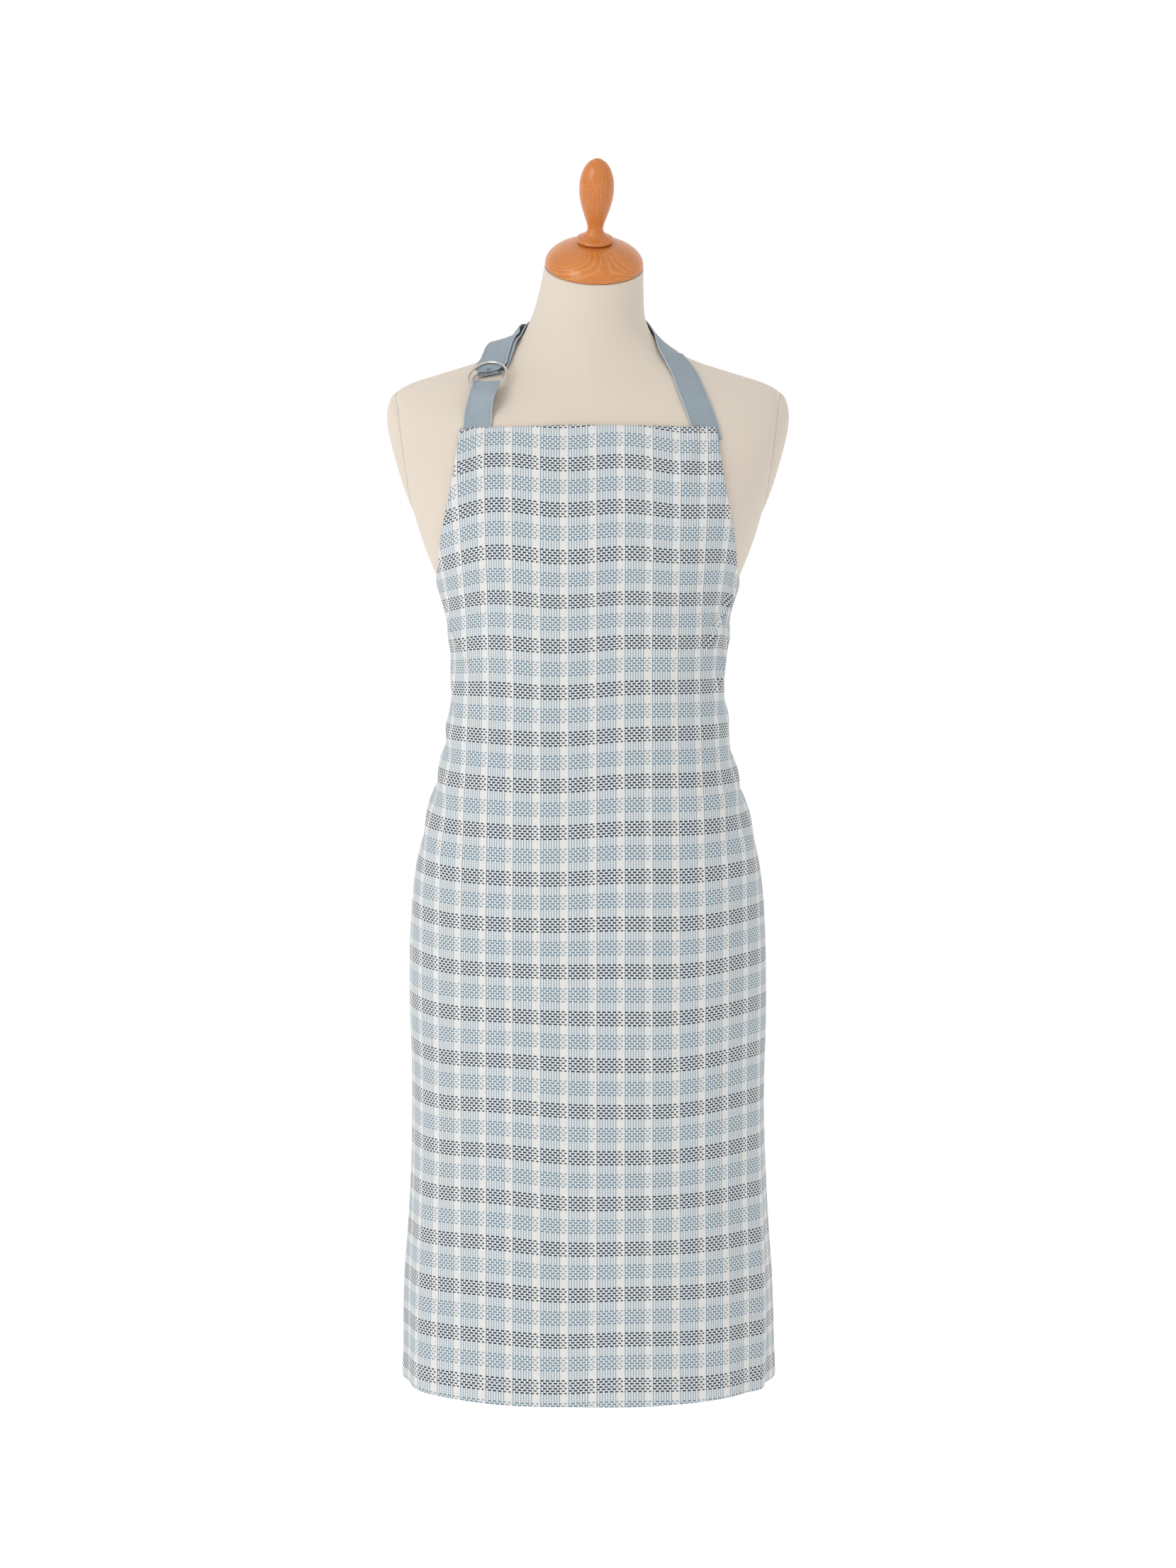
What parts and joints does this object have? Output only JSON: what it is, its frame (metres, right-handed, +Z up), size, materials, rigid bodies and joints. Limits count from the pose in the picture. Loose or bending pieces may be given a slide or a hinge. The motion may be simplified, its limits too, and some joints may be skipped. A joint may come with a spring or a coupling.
{
  "type": "bib apron on a dressmaker's form",
  "caption": "Checked cotton bib apron on a jersey-covered dressmaker's form with a turned wooden neck cap, its neck strap buckled through metal rings and its waist ties in a bow at the back.",
  "frame": {"origin": "on the pole socket's axis, level with the form's underside", "axes": "+Z up, the apron's front faces -Y, +X to the right of someone who looks at that front"},
  "size_m": [0.3801, 0.232, 1.151],
  "materials": {
    "jersey": "fine cream cotton jersey stretched smooth",
    "shell": "moulded, unpainted",
    "plywood": "sawn, unfinished",
    "socket_metal": "satin black",
    "steel": "zinc plated",
    "beech": "turned beech, satin varnish",
    "apron_cloth": "woven cotton, navy and blue stripes on white",
    "nickel": "nickel plated, polished",
    "twill": "blue-grey twill tape"
  },
  "bodies": {
    "form_and_apron": {"jersey_cover": "jersey", "arm_cap_left": "jersey", "arm_cap_right": "jersey", "torso_shell": "shell", "base_board": "plywood", "pole_socket": "socket_metal", "socket_screws": "steel", "neck_block": "plywood", "neck_cap": "beech", "finial_stud": "steel", "apron_panel": "apron_cloth", "ring_strap": "twill", "neck_strap": "twill", "neck_strap_tail": "twill", "tie_left": "twill", "tie_right": "twill", "bow_knot": "twill"},
    "finial": {"finial": "beech"},
    "clamp_screw": {"clamp_screw": "steel"},
    "ring_front": {"ring_front": "nickel"},
    "ring_back": {"ring_back": "nickel"},
    "bow_loop_left": {"bow_loop_left": "twill"},
    "bow_loop_right": {"bow_loop_right": "twill"},
    "tie_tail_left": {"tie_tail_left": "twill"},
    "tie_tail_right": {"tie_tail_right": "twill"}
  },
  "joints": [
    {"name": "finial_turn", "type": "hinge", "parent": "form_and_apron", "child": "finial", "pos_m": [0.0057, -0.015, 0.753], "axis": [0.03, -0.4226, 0.9058], "continuous": true},
    {"name": "clamp_screw_turn", "type": "hinge", "parent": "form_and_apron", "child": "clamp_screw", "pos_m": [0, 0.03, -0.026], "axis": [0, 1, 0], "continuous": true},
    {"name": "ring_front_spin", "type": "hinge", "parent": "form_and_apron", "child": "ring_front", "pos_m": [-0.0937, -0.048, 0.65], "axis": [-0.2064, -0.6717, 0.7115], "continuous": true},
    {"name": "ring_back_spin", "type": "hinge", "parent": "form_and_apron", "child": "ring_back", "pos_m": [-0.09294, -0.04551, 0.64751], "axis": [-0.1684, -0.543, 0.8227], "continuous": true},
    {"name": "loop_left_lift", "type": "hinge", "parent": "form_and_apron", "child": "bow_loop_left", "pos_m": [-0.0185, 0.094, 0.341], "axis": [0, 1, 0], "range_deg": [0, 50]},
    {"name": "loop_right_lift", "type": "hinge", "parent": "form_and_apron", "child": "bow_loop_right", "pos_m": [0.0185, 0.094, 0.341], "axis": [0, -1, 0], "range_deg": [0, 50]},
    {"name": "tail_left_swing", "type": "hinge", "parent": "form_and_apron", "child": "tie_tail_left", "pos_m": [-0.0142, 0.088, 0.3275], "axis": [1, 0, 0], "range_deg": [0, 15]},
    {"name": "tail_right_swing", "type": "hinge", "parent": "form_and_apron", "child": "tie_tail_right", "pos_m": [0.0142, 0.088, 0.3275], "axis": [1, 0, 0], "range_deg": [0, 15]}
  ]
}
